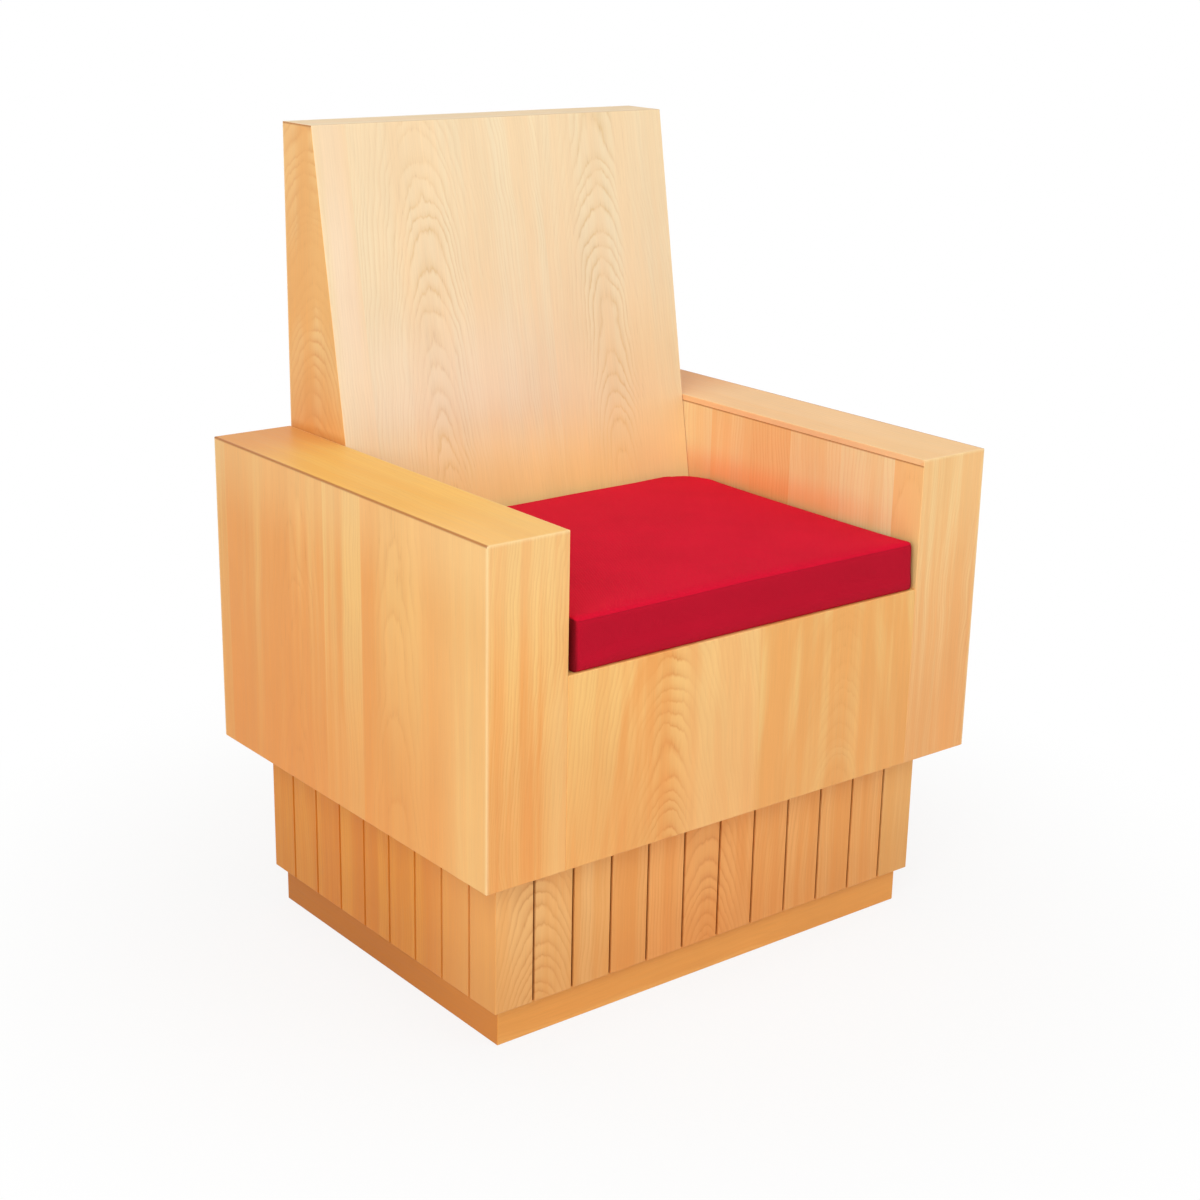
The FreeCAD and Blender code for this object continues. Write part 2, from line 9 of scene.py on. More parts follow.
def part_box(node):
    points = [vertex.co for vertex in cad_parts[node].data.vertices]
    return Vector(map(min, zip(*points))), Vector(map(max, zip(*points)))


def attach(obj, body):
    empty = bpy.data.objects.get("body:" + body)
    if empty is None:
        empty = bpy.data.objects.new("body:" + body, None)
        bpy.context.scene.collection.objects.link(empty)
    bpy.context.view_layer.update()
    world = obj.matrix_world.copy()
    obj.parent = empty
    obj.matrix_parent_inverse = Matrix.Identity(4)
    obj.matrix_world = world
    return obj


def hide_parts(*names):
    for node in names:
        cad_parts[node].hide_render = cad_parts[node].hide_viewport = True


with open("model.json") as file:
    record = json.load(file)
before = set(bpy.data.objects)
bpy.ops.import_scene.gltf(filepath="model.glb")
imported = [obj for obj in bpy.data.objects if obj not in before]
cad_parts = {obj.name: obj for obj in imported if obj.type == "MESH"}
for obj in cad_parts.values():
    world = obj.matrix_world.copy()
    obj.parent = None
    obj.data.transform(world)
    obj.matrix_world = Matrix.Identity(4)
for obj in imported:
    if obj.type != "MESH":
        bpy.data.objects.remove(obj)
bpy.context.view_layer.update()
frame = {"nodes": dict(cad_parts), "record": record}
scene = bpy.context.scene
scene.view_settings.view_transform = "Standard"
print("frame loaded,", len(frame["nodes"]), "pieces")


# Colours are written as seen, 0 to 255, and turned into light for the shaders
def paint(red, green, blue):
    def light(part):
        share = part / 255
        return share / 12.92 if share <= 0.04045 else ((share + 0.055) / 1.055) ** 2.4

    return (light(red), light(green), light(blue), 1.0)


# Short ways to add a node, a sum, a mix and a ramp to a material
def addNode(tree, kind, inputs=None, **settings):
    made = tree.nodes.new(kind)
    for key, value in settings.items():
        setattr(made, key, value)
    for key, value in (inputs or {}).items():
        if isinstance(value, bpy.types.NodeSocket):
            tree.links.new(value, made.inputs[key])
        else:
            made.inputs[key].default_value = value
    return made


def sums(tree, operation, *values):
    return addNode(tree, "ShaderNodeMath", dict(enumerate(values)), operation=operation).outputs[0]


def remap(tree, value, start, end, low=0.0, high=1.0, smooth=False):
    style = "SMOOTHSTEP" if smooth else "LINEAR"
    inputs = {"Value": value, "From Min": start, "From Max": end, "To Min": low, "To Max": high}
    return addNode(tree, "ShaderNodeMapRange", inputs, interpolation_type=style).outputs[0]


def blendColours(tree, share, first, second, style="MIX"):
    inputs = {0: share, 6: first, 7: second}
    made = addNode(tree, "ShaderNodeMix", inputs, data_type="RGBA", blend_type=style)
    return made.outputs[2]


def ramp(tree, value, stops, style="LINEAR"):
    made = addNode(tree, "ShaderNodeValToRGB", {0: value})
    band = made.color_ramp
    band.interpolation = style
    while len(band.elements) < len(stops):
        band.elements.new(1.0)
    while len(band.elements) > len(stops):
        band.elements.remove(band.elements[-1])
    for element, (position, colour) in zip(band.elements, stops):
        element.position = position
        element.color = colour
    return made.outputs


def grey(level):
    return (level, level, level, 1.0)


def stretched(tree, first, second, third, scales):
    parts = [sums(tree, "MULTIPLY", part, scale) for part, scale in zip((first, second, third), scales)]
    return addNode(tree, "ShaderNodeCombineXYZ", dict(enumerate(parts))).outputs[0]


# Most of a cloud lies in the wide range, and the narrow one brings out its light and dark
cloudWide = (0.3, 0.7)
cloudNarrow = (0.35, 0.65)


def cloud(tree, vector, detail):
    inputs = {"Vector": vector, "Scale": 1.0, "Detail": detail, "Roughness": 0.5}
    return addNode(tree, "ShaderNodeTexNoise", inputs).outputs[0]


def boxCloud(tree, axes, scales, detail):
    return cloud(tree, stretched(tree, axes["x"], axes["y"], axes["z"], scales), detail)


def evenCloud(tree, axes, scale, detail):
    return boxCloud(tree, axes, (scale, scale, scale), detail)


def cells(tree, scale):
    place = addNode(tree, "ShaderNodeTexCoord").outputs["Object"]
    return addNode(tree, "ShaderNodeTexVoronoi", {"Vector": place, "Scale": scale}).outputs[0]


def newMaterial(name):
    material = bpy.data.materials.new(name)
    material.use_nodes = True
    tree = material.node_tree
    shader = tree.nodes["Principled BSDF"]
    place = addNode(tree, "ShaderNodeTexCoord").outputs["Object"]
    axes = dict(zip("xyz", addNode(tree, "ShaderNodeSeparateXYZ", {0: place}).outputs))
    return material, tree, shader, axes


def finishWith(tree, shader, colour, height, roughness, bumpStrength, bumpDistance):
    tree.links.new(colour, shader.inputs["Base Color"])
    tree.links.new(roughness, shader.inputs["Roughness"])
    inputs = {"Height": height, "Strength": bumpStrength, "Distance": bumpDistance}
    bump = addNode(tree, "ShaderNodeBump", inputs)
    tree.links.new(bump.outputs[0], shader.inputs["Normal"])


def dress(node, material):
    slots = frame["nodes"][node].data.materials
    slots.clear()
    slots.append(material)


# Veneer, laid in leaves side by side, each with its own heart line
veneerCut = {
    "ringSpacing": 0.0056,
    "heartDepth": 0.030,
    "climb": 0.20,
    "phaseSpan": 37.0,
    "seedStep": 5.3,
    # how far a line strays, and the scale of that across and along the grain
    "wander": 0.012,
    "wanderScale": (1.5, 2.6),
    "uneven": ((0.012, (3.0, 6.0)), (0.0034, (26.0, 12.0)), (0.0010, (210.0, 40.0))),
    "ringUneven": 2.6,
    "ringUnevenScale": 0.31,
    "ringShade": ((0.0, 0.0), (0.10, 0.45), (0.18, 1.0), (0.34, 0.5), (0.62, 0.12), (1.0, 0.0)),
    "heartReach": 0.065,
    "flankShare": 0.42,
    "patchiness": 0.5,
    "patchScale": (11.0, 7.0),
    "patchRange": (0.3, 0.62),
    "fibre": 0.07,
    "fibreScale": (1150.0, 15.0),
    "mottle": 0.06,
    "mottleScale": (22.0, 8.0),
    "bandScale": (15.0, 0.6),
    "bandShare": 0.3,
    "streakScale": (52.0, 1.1),
    "streakShare": 0.35,
    "yearScale": 0.16,
    "yearShare": 0.35,
    "stripeRange": (0.42, 0.58),
    "warmth": 0.9,
    "poreScale": (1500.0, 46.0),
    "poreRange": (0.55, 0.72),
    "poreShade": 0.22,
    "poreColour": paint(150, 86, 40),
    "fibreHeight": 0.5,
    "ringHeight": -0.1,
    "bump": 0.18,
    "bumpDepth": 0.0003,
    "roughness": (0.42, 0.56),
    "gloss": 0.26,
    "coat": 0.04,
    "coatRoughness": 0.32,
    "jointLine": 0.0008,
    "jointFade": 0.0026,
    "jointColour": paint(168, 94, 30),
    # a pale line painted along chosen edges: a painted highlight, where a rounded edge would catch the
    # light
    "wornLine": 0.0006,
    "wornFade": 0.0035,
    "wornColour": paint(252, 224, 172),
    # deep paints shade down in the front grooves; faint paints light into the side grooves to lift their
    # shade
    "grooveFrom": 0.0012,
    "grooveTo": 0.0045,
    "deepGroove": paint(132, 58, 6),
    "faintGroove": paint(254, 204, 132),
}
plainLeaf = {"heartStray": 0.3, "tones": (0.95, 1.04), "figures": (0.4, 0.65)}
leafSpan = {"heartFrom": -1.0, "heart": 4.0, "tone": 2.0}    # what a ramp's 0 to 1 stands for
farHeart = 1.9    # a heart line off the board leaves straight grain


# A soft change of colour over part of a board, along one axis or more: some are the wood's own tone,
# others painted light or painted shade, as noted where they are listed
def tinted(strength, colour, *fades):
    return {"strength": strength, "colour": colour, "fades": fades}


def plainLeaves(count, seed, straight=False):
    # a leaf is its first edge, heart line and start as shares of the board, its tone and its figure
    chance = random.Random(seed)
    leaves = []
    for i in range(count):
        stray = 0.0 if straight else chance.uniform(-plainLeaf["heartStray"], plainLeaf["heartStray"])
        heart = farHeart if straight else (i + 0.5 + stray) / count
        phase = chance.random()
        tone = chance.uniform(*plainLeaf["tones"])
        figure = chance.uniform(*plainLeaf["figures"])
        leaves.append((i / count, heart, phase, tone, figure))
    return leaves


def veneer(name, board, low, high, seed):
    material, tree, shader, axes = newMaterial(name)
    acrossAxis, alongAxis = board["grain"]
    sideways = "xyz".index(acrossAxis)
    width = high[sideways] - low[sideways]
    across = axes[acrossAxis]
    along = axes[alongAxis]
    share = remap(tree, across, low[sideways], high[sideways])
    stops = []
    for edge, heart, phase, tone, figure in board["leaves"]:
        heartShare = (heart - leafSpan["heartFrom"]) / leafSpan["heart"]
        stops.append((edge, (heartShare, phase, tone / leafSpan["tone"], figure)))
    leaf, figure = ramp(tree, share, stops, "CONSTANT")
    heart, phase, tone = addNode(tree, "ShaderNodeSeparateColor", {0: leaf}).outputs
    heart = sums(tree, "MULTIPLY_ADD", heart, leafSpan["heart"], leafSpan["heartFrom"])
    tone = sums(tree, "MULTIPLY", tone, leafSpan["tone"])
    shift = sums(tree, "MULTIPLY_ADD", phase, veneerCut["phaseSpan"], seed * veneerCut["seedStep"])

    def grainCloud(scales, detail=2.0, finer=1.0):
        stretch = (scales[0] * finer, scales[1], 1.0)
        return cloud(tree, stretched(tree, across, along, shift, stretch), detail)

    def ringCloud(rings, scale, detail):
        return cloud(tree, stretched(tree, rings, shift, shift, (scale, 1.0, 1.0)), detail)

    # rings of a log, cut on a plane that climbs away from its heart
    fromHeart = sums(tree, "MULTIPLY", sums(tree, "SUBTRACT", share, heart), width)
    drift = sums(tree, "SUBTRACT", grainCloud(veneerCut["wanderScale"]), 0.5)
    fromHeart = sums(tree, "MULTIPLY_ADD", drift, 2 * veneerCut["wander"], fromHeart)
    climb = board.get("climb", veneerCut["climb"])
    foot = board.get("heartDepth", veneerCut["heartDepth"]) - climb * low["xyz".index(alongAxis)]
    depth = sums(tree, "MULTIPLY_ADD", along, climb, foot)
    squared = sums(tree, "MULTIPLY_ADD", fromHeart, fromHeart, sums(tree, "MULTIPLY", depth, depth))
    radius = sums(tree, "SQRT", squared)
    for size, scales in veneerCut["uneven"]:
        radius = sums(tree, "MULTIPLY_ADD", grainCloud(scales), 2 * size, radius)
    rings = sums(tree, "DIVIDE", radius, board.get("ringSpacing", veneerCut["ringSpacing"]))
    uneven = ringCloud(rings, veneerCut["ringUnevenScale"], 1.0)
    rings = sums(tree, "MULTIPLY_ADD", uneven, veneerCut["ringUneven"], rings)
    ring = sums(tree, "FRACT", sums(tree, "ADD", rings, shift))
    ringShade = ramp(tree, ring, [(at, grey(level)) for at, level in veneerCut["ringShade"]])[0]

    # the figure is strongest at the heart and comes and goes along the leaf
    reach = board.get("heartReach", veneerCut["heartReach"])
    offHeart = sums(tree, "ABSOLUTE", fromHeart)
    flank = board.get("flankShare", veneerCut["flankShare"])
    beside = remap(tree, offHeart, 0.0, reach, 1.0, flank, smooth=True)
    patch = grainCloud(veneerCut["patchScale"])
    patch = remap(tree, patch, *veneerCut["patchRange"], 1.0 - veneerCut["patchiness"], 1.0)
    ringShade = sums(tree, "MULTIPLY", ringShade, sums(tree, "MULTIPLY", beside, patch))

    # fibres, pores, broad streaks along the grain and bands of years
    fine = board.get("fine", 1.0)
    fibre = grainCloud(veneerCut["fibreScale"], 3.0)
    mottle = grainCloud(veneerCut["mottleScale"], 3.0)
    streak = grainCloud(veneerCut["streakScale"], 3.0, fine)
    band = grainCloud(veneerCut["bandScale"], 1.0, fine)
    dash = grainCloud(veneerCut["poreScale"], 1.0)
    years = ringCloud(rings, veneerCut["yearScale"] * fine, 2.0)
    pores = sums(tree, "MULTIPLY", remap(tree, dash, *veneerCut["poreRange"]), ringShade)

    colour = blendColours(tree, sums(tree, "MULTIPLY", ringShade, figure), board["light"], board["dark"])
    stripes = sums(tree, "MULTIPLY", streak, veneerCut["streakShare"])
    stripes = sums(tree, "MULTIPLY_ADD", band, veneerCut["bandShare"], stripes)
    stripes = sums(tree, "MULTIPLY_ADD", years, veneerCut["yearShare"], stripes)
    warmth = board.get("warmth", veneerCut["warmth"])
    warm = remap(tree, stripes, *veneerCut["stripeRange"], 0.0, warmth, smooth=True)
    colour = blendColours(tree, warm, colour, board["warm"])
    for tint in board.get("tints", ()):
        amount = tint["strength"]
        for axis, start, end in tint["fades"]:
            amount = sums(tree, "MULTIPLY", remap(tree, axes[axis], start, end, smooth=True), amount)
        colour = blendColours(tree, amount, colour, tint["colour"])
    toneSquared = sums(tree, "MULTIPLY", tone, tone)
    hue = addNode(tree, "ShaderNodeCombineColor", {0: 1.0, 1: tone, 2: toneSquared}).outputs[0]
    colour = blendColours(tree, 1.0, colour, hue, "MULTIPLY")
    darkest = 1.0 - veneerCut["fibre"] - veneerCut["mottle"]
    bright = sums(tree, "MULTIPLY_ADD", fibre, 2 * veneerCut["fibre"], darkest)
    bright = sums(tree, "MULTIPLY_ADD", mottle, 2 * veneerCut["mottle"], bright)
    colour = blendColours(tree, 1.0, colour, bright, "MULTIPLY")
    poreShade = sums(tree, "MULTIPLY", pores, veneerCut["poreShade"])
    colour = blendColours(tree, poreShade, colour, veneerCut["poreColour"])

    def fromSide(axis, side):
        edge = (low, high)[side]["xyz".index(axis)]
        return sums(tree, "ABSOLUTE", sums(tree, "SUBTRACT", axes[axis], edge))

    # painted highlights along the edges, dark glue lines where a joint shows, and painted shade or
    # painted light down in the grooves
    for kind in ("worn", "joint"):
        full, gone = veneerCut[kind + "Line"], veneerCut[kind + "Fade"]
        for axis, side, strength in board.get(kind, ()):
            line = remap(tree, fromSide(axis, side), full, gone, strength, 0.0)
            colour = blendColours(tree, line, colour, veneerCut[kind + "Colour"])
    # painted shade or painted light down in the grooves
    if "groove" in board:
        axis, side, strength, shade = board["groove"]
        start, end = veneerCut["grooveFrom"], veneerCut["grooveTo"]
        sunk = remap(tree, fromSide(axis, side), start, end, 0.0, strength)
        colour = blendColours(tree, sunk, colour, veneerCut[shade + "Groove"])

    height = sums(tree, "SUBTRACT", sums(tree, "MULTIPLY", fibre, veneerCut["fibreHeight"]), pores)
    height = sums(tree, "MULTIPLY_ADD", ringShade, veneerCut["ringHeight"], height)
    roughness = remap(tree, fibre, *cloudWide, *veneerCut["roughness"])
    shader.inputs["Specular IOR Level"].default_value = veneerCut["gloss"]
    shader.inputs["Coat Weight"].default_value = veneerCut["coat"]
    shader.inputs["Coat Roughness"].default_value = veneerCut["coatRoughness"]
    finishWith(tree, shader, colour, height, roughness, veneerCut["bump"], veneerCut["bumpDepth"])
    return material


def dressBoards(boards):
    for node, board in boards.items():
        low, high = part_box(node)
        seed = sorted(frame["nodes"]).index(node)
        dress(node, veneer(node + "Veneer", board, low, high, seed))


# A board's grain is its axis across and along; lines give an axis, its low or high side and a strength
def palette(light, dark, warm):
    return {"light": paint(*light), "dark": paint(*dark), "warm": paint(*warm)}


# straw is a paler copy of the chair's veneer for the backrest's front and top: painted light where they
# face the lamps
strawVeneer = palette((240, 221, 183), (220, 182, 118), (240, 212, 168))
creamVeneer = palette((248, 220, 160), (230, 172, 94), (246, 206, 140))
honeyVeneer = palette((246, 196, 120), (216, 130, 54), (239, 163, 86))
peachVeneer = palette((250, 210, 143), (228, 150, 78), (246, 187, 112))
goldVeneer = palette((247, 193, 102), (226, 148, 66), (242, 178, 86))
apricotVeneer = palette((248, 203, 134), (224, 142, 70), (243, 182, 106))
blushVeneer = palette((250, 207, 144), (222, 142, 74), (245, 180, 112))
roseVeneer = palette((249, 203, 146), (232, 169, 102), (247, 194, 131))
amberVeneer = palette((243, 183, 112), (204, 116, 46), (235, 160, 83))
# russet and umber are darker, redder copies of amber and toast for the sides of the base and plinth:
# painted shade with warm bounce light
russetVeneer = palette((230, 154, 58), (196, 109, 30), (220, 133, 43))
toastVeneer = palette((240, 174, 93), (206, 128, 54), (230, 156, 75))
umberVeneer = palette((208, 130, 34), (170, 92, 16), (192, 112, 22))

# Backrest
backTints = [
    tinted(0.45, paint(244, 222, 198), ("x", -0.246, -0.236), ("x", -0.204, -0.218), ("z", 0.60, 0.72)),
    # painted bounce light from the red pad: warmer low on the backrest
    tinted(0.85, paint(251, 217, 138), ("z", 0.60, 0.49)),
    tinted(0.25, paint(246, 206, 130), ("z", 0.76, 0.60), ("z", 0.49, 0.57), ("x", -0.05, 0.22)),
    tinted(0.5, paint(252, 224, 168), ("z", 0.60, 0.53), ("x", 0.10, 0.22)),
    tinted(0.5, paint(234, 206, 164), ("z", 0.78, 0.90), ("x", 0.05, -0.25)),
    tinted(0.35, paint(246, 232, 204), ("z", 0.74, 0.64), ("z", 0.57, 0.62), ("x", 0.14, -0.06)),
]
cheekBoard = dict(
    apricotVeneer, grain="yz", climb=0.30, heartDepth=0.020, ringSpacing=0.0046, joint=[("z", 1, 0.7)],
    worn=[("y", 1, 0.4)],
    tints=[
        tinted(0.4, paint(238, 164, 88), ("z", 0.74, 0.58)),
        # painted shadow where the cheek stands on the cap
        tinted(0.55, paint(206, 128, 50), ("z", 0.588, 0.577)),
        tinted(0.22, paint(236, 152, 66), ("y", 0.20, 0.235)),
    ],
)
dressBoards({
    "back_front_panel": dict(
        strawVeneer, grain="xz", climb=0.14, heartDepth=0.014, ringSpacing=0.0038, tints=backTints,
        worn=[("x", 0, 0.3), ("x", 1, 0.3)],
        leaves=[
            (0.0, farHeart, 0.30, 0.98, 0.5), (0.085, 0.27, 0.10, 1.0, 0.75),
            (0.61, 0.79, 0.62, 1.0, 0.75),
        ],
    ),
    "back_rear_panel": dict(
        peachVeneer, grain="xz", leaves=plainLeaves(3, 4), worn=[("x", 0, 0.4), ("x", 1, 0.4)],
    ),
    "back_left_cheek": dict(cheekBoard, leaves=[(0.0, 0.60, 0.4, 1.0, 0.75)]),
    "back_right_cheek": dict(cheekBoard, leaves=[(0.0, 0.55, 0.8, 1.0, 0.75)]),
    "back_top_panel": dict(
        strawVeneer, grain="yx", climb=0.02, leaves=[(0.0, farHeart, 0.2, 0.945, 0.4)],
        joint=[("y", 0, 0.3)], worn=[("y", 1, 0.3)],
    ),
})
print("backrest dressed")

# Arms
outerLeaves = [
    (0.0, 0.30, 0.5, 1.0, 0.35), (0.42, farHeart, 0.2, 1.0, 0.6), (0.56, 0.68, 0.8, 0.95, 0.4),
    (0.955, farHeart, 0.4, 1.03, 0.6),
]
# painted light toward the front and the top, painted shade toward the rear and low at the front, then an
# orange band across the middle
outerTints = [
    tinted(0.5, paint(248, 206, 134), ("y", -0.10, -0.26)),
    tinted(0.25, paint(238, 168, 96), ("y", 0.08, 0.20)),
    tinted(0.5, paint(250, 206, 140), ("z", 0.47, 0.575)),
    tinted(0.6, paint(236, 152, 70), ("z", 0.50, 0.23), ("y", -0.24, -0.16)),
    tinted(0.2, paint(236, 150, 66), ("y", -0.17, -0.12), ("y", -0.03, -0.08)),
]
innerLeaves = [
    (0.0, 0.04, 0.3, 0.93, 0.7), (0.08, farHeart, 0.7, 1.07, 0.6), (0.11, farHeart, 0.6, 1.06, 0.6),
    (0.24, farHeart, 0.9, 1.0, 0.7), (0.40, farHeart, 0.2, 0.85, 0.8), (0.53, farHeart, 0.5, 0.98, 0.8),
    (0.665, farHeart, 0.1, 1.07, 0.8), (0.82, farHeart, 0.4, 1.0, 0.8),
]
# painted bounce light: red-orange glow low on the inner panels beside the pad
innerTints = [tinted(0.5, paint(254, 150, 88), ("z", 0.525, 0.485), ("y", -0.26, -0.10))]
# painted light toward the top and painted shade toward the bottom, then a lighter patch low on the left
# stile
stileTints = [
    tinted(0.45, paint(247, 204, 140), ("z", 0.40, 0.57)),
    tinted(0.55, paint(232, 150, 78), ("z", 0.52, 0.23)),
    tinted(0.5, paint(246, 196, 126), ("x", -0.285, -0.26), ("x", 0.0, -0.24), ("z", 0.48, 0.38)),
]
# painted shadow of the backrest at the rear of the caps, then lighter toward the front
capTints = [
    tinted(0.65, paint(222, 148, 80), ("y", 0.10, 0.24)),
    tinted(0.4, paint(248, 202, 136), ("y", -0.08, -0.26)),
]
# the right cap's rose veneer is paler and pinker than the left's gold: partly the wood's own tone,
# partly a painted reflection of the white surround
armVeneers = (("left", 0, goldVeneer, honeyVeneer, 0.62), ("right", 1, roseVeneer, blushVeneer, 0.3))
for side, outer, capVeneer, stileVeneer, stileStart in armVeneers:
    dressBoards({
        f"{side}_arm_outer_panel": dict(
            honeyVeneer, grain="yz", climb=0.06, heartDepth=0.050, joint=[("z", 1, 0.8)],
            worn=[("y", 0, 0.45), ("y", 1, 0.45)], tints=outerTints, leaves=outerLeaves,
        ),
        f"{side}_arm_inner_panel": dict(
            creamVeneer, grain="yz", climb=0.08, joint=[("z", 1, 0.7)],
            leaves=innerLeaves, tints=innerTints,
        ),
        f"{side}_arm_front_stile": dict(
            stileVeneer, grain="xz", climb=0.10, ringSpacing=0.0034, fine=2.2, tints=stileTints,
            worn=[("x", outer, 0.45), ("z", 1, 0.4)], leaves=[(0.0, 1.4, stileStart, 1.02, 1.0)],
        ),
        f"{side}_arm_rear_stile": dict(
            stileVeneer, grain="xz", climb=0.10, leaves=[(0.0, 1.4, 0.7, 1.0, 0.9)],
            worn=[("x", outer, 0.45)],
        ),
        f"{side}_arm_cap": dict(
            capVeneer, grain="xy", climb=0.02, warmth=0.6, joint=[("x", outer, 0.8)],
            worn=[("y", 0, 0.4), ("x", 1 - outer, 0.3)],
            leaves=[(0.0, farHeart, 0.5, 1.0, 0.5)], tints=capTints,
        ),
    })
print("arms dressed")

# Seat box
# painted shade toward the bottom, then a lighter band left of the middle
seatTints = [
    tinted(0.5, paint(232, 154, 82), ("z", 0.42, 0.22)),
    tinted(0.38, paint(248, 202, 138), ("x", -0.12, -0.06), ("x", 0.02, 0.005)),
]
dressBoards({
    "seat_front_panel": dict(
        honeyVeneer, grain="xz", climb=0.25, heartDepth=0.040, ringSpacing=0.0042, heartReach=0.040,
        flankShare=0.26, tints=seatTints,
        leaves=[(0.0, 0.27, 0.15, 1.0, 1.0), (0.525, 0.78, 0.35, 1.09, 0.42)],
    ),
    "seat_rear_panel": dict(honeyVeneer, grain="xz", leaves=plainLeaves(3, 21)),
})
print("seat box dressed")

# Grooved base and plinth
# painted shade toward the foot of the base
footTint = tinted(0.38, paint(206, 128, 58), ("z", 0.17, 0.05))
# on the base's sides: lighter toward the front, painted shade toward the foot, and a painted shadow
# under the seat box's overhang
sideTints = [
    tinted(0.6, paint(242, 178, 102), ("y", -0.06, -0.20)),
    tinted(0.18, paint(170, 96, 30), ("z", 0.15, 0.05)),
    tinted(0.55, paint(150, 84, 34), ("z", 0.196, 0.210)),
]
# the front's leaves in slats: first slat, heart line, start, tone and figure
slatCount = 12
frontSlats = [(0, 1, 0.15, 1.08, 0.62)]
for first, tone in ((2, 1.06), (3, 0.97), (4, 0.89)):
    frontSlats.append((first, farHeart * slatCount, 0.1 * first, tone, 0.8))
frontSlats.append((5, 5.7, 0.55, 0.895, 0.5))
for first, tone in ((7, 0.93), (8, 0.96), (9, 0.98), (10, 0.99), (11, 1.15)):
    frontSlats.append((first, farHeart * slatCount, 0.09 * first, tone, 0.8))
frontLeaves = [(first / slatCount, heart / slatCount, *rest) for first, heart, *rest in frontSlats]
dressBoards({
    "base_front_panel": dict(
        amberVeneer, grain="xz", climb=0.30, heartDepth=0.026, ringSpacing=0.0050,
        groove=("y", 0, 0.8, "deep"), leaves=frontLeaves, tints=[footTint],
    ),
    "base_rear_panel": dict(
        amberVeneer, grain="xz", groove=("y", 1, 0.8, "deep"), tints=[footTint],
        leaves=plainLeaves(6, 32),
    ),
    "base_left_panel": dict(
        russetVeneer, grain="yz", groove=("x", 0, 0.9, "faint"), tints=sideTints,
        leaves=plainLeaves(9, 33, True),
    ),
    "base_right_panel": dict(
        russetVeneer, grain="yz", groove=("x", 1, 0.9, "faint"), tints=sideTints,
        leaves=plainLeaves(9, 34, True),
    ),
})
railLeaves = [(0.0, farHeart, 0.2, 1.0, 0.8)]
railTints = [tinted(0.5, paint(226, 144, 60), ("y", 0.02, -0.21))]
for rail in ("front", "rear"):
    dressBoards({f"plinth_{rail}_rail": dict(toastVeneer, grain="zx", climb=0.02, leaves=railLeaves)})
for rail in ("left", "right"):
    rails = dict(umberVeneer, grain="zy", climb=0.02, leaves=railLeaves, tints=railTints)
    dressBoards({f"plinth_{rail}_rail": rails})
print("base dressed")


# Boards, blocks and fixings that only show when the pad is off or the chair is turned over
innerTimber = {
    "mottleScale": 9.0,
    "mottleShare": 0.4,
    "grainShare": 0.6,
    "speckRange": (0.10, 0.02),
    "bump": 0.35,
    "bumpDepth": 0.0003,
}
plywood = {
    "light": paint(226, 198, 152), "dark": paint(200, 164, 114), "speck": paint(150, 108, 66),
    "grainScale": (420.0, 12.0, 420.0), "speckScale": 260.0, "speckShade": 0.25,
    "roughness": (0.55, 0.75),
}
pressedBeech = {
    "light": paint(214, 170, 126), "dark": paint(180, 130, 88), "speck": paint(140, 92, 56),
    "grainScale": (240.0, 240.0, 240.0), "speckScale": 500.0, "speckShade": 0.5,
    "roughness": (0.6, 0.8),
}


def boardTimber(name, look):
    material, tree, shader, axes = newMaterial(name)
    grain = boxCloud(tree, axes, look["grainScale"], 4.0)
    mottle = evenCloud(tree, axes, innerTimber["mottleScale"], 2.0)
    share = sums(tree, "MULTIPLY", grain, innerTimber["grainShare"])
    share = sums(tree, "MULTIPLY_ADD", mottle, innerTimber["mottleShare"], share)
    colour = blendColours(tree, remap(tree, share, *cloudNarrow), look["light"], look["dark"])
    speck = cells(tree, look["speckScale"])
    specks = remap(tree, speck, *innerTimber["speckRange"], 0.0, look["speckShade"])
    colour = blendColours(tree, specks, colour, look["speck"])
    roughness = remap(tree, grain, *cloudWide, *look["roughness"])
    finishWith(tree, shader, colour, grain, roughness, innerTimber["bump"], innerTimber["bumpDepth"])
    return material


zinc = {
    "light": paint(206, 202, 188), "dark": paint(150, 146, 130), "blotchScale": 420.0,
    "roughness": (0.28, 0.5), "bump": 0.2, "bumpDepth": 0.0001,
}


def zincPlate():
    material, tree, shader, axes = newMaterial("zincPlate")
    blotch = evenCloud(tree, axes, zinc["blotchScale"], 3.0)
    colour = blendColours(tree, remap(tree, blotch, *cloudNarrow), zinc["light"], zinc["dark"])
    shader.inputs["Metallic"].default_value = 1.0
    roughness = remap(tree, blotch, *cloudWide, *zinc["roughness"])
    finishWith(tree, shader, colour, blotch, roughness, zinc["bump"], zinc["bumpDepth"])
    return material


clothPile = {
    "tuftShare": 0.5,
    "fuzzShare": 0.5,
    "range": (0.2, 0.8),
    "sheen": 0.3,
    "roughness": (0.8, 0.95),
    "bump": 0.6,
    "bumpDepth": 0.0005,
}
liningCloth = {"light": paint(52, 51, 52), "dark": paint(24, 24, 25), "scale": 900.0, "tuftScale": 500.0}
gripTape = {"light": paint(64, 62, 62), "dark": paint(16, 16, 17), "scale": 700.0, "tuftScale": 900.0}


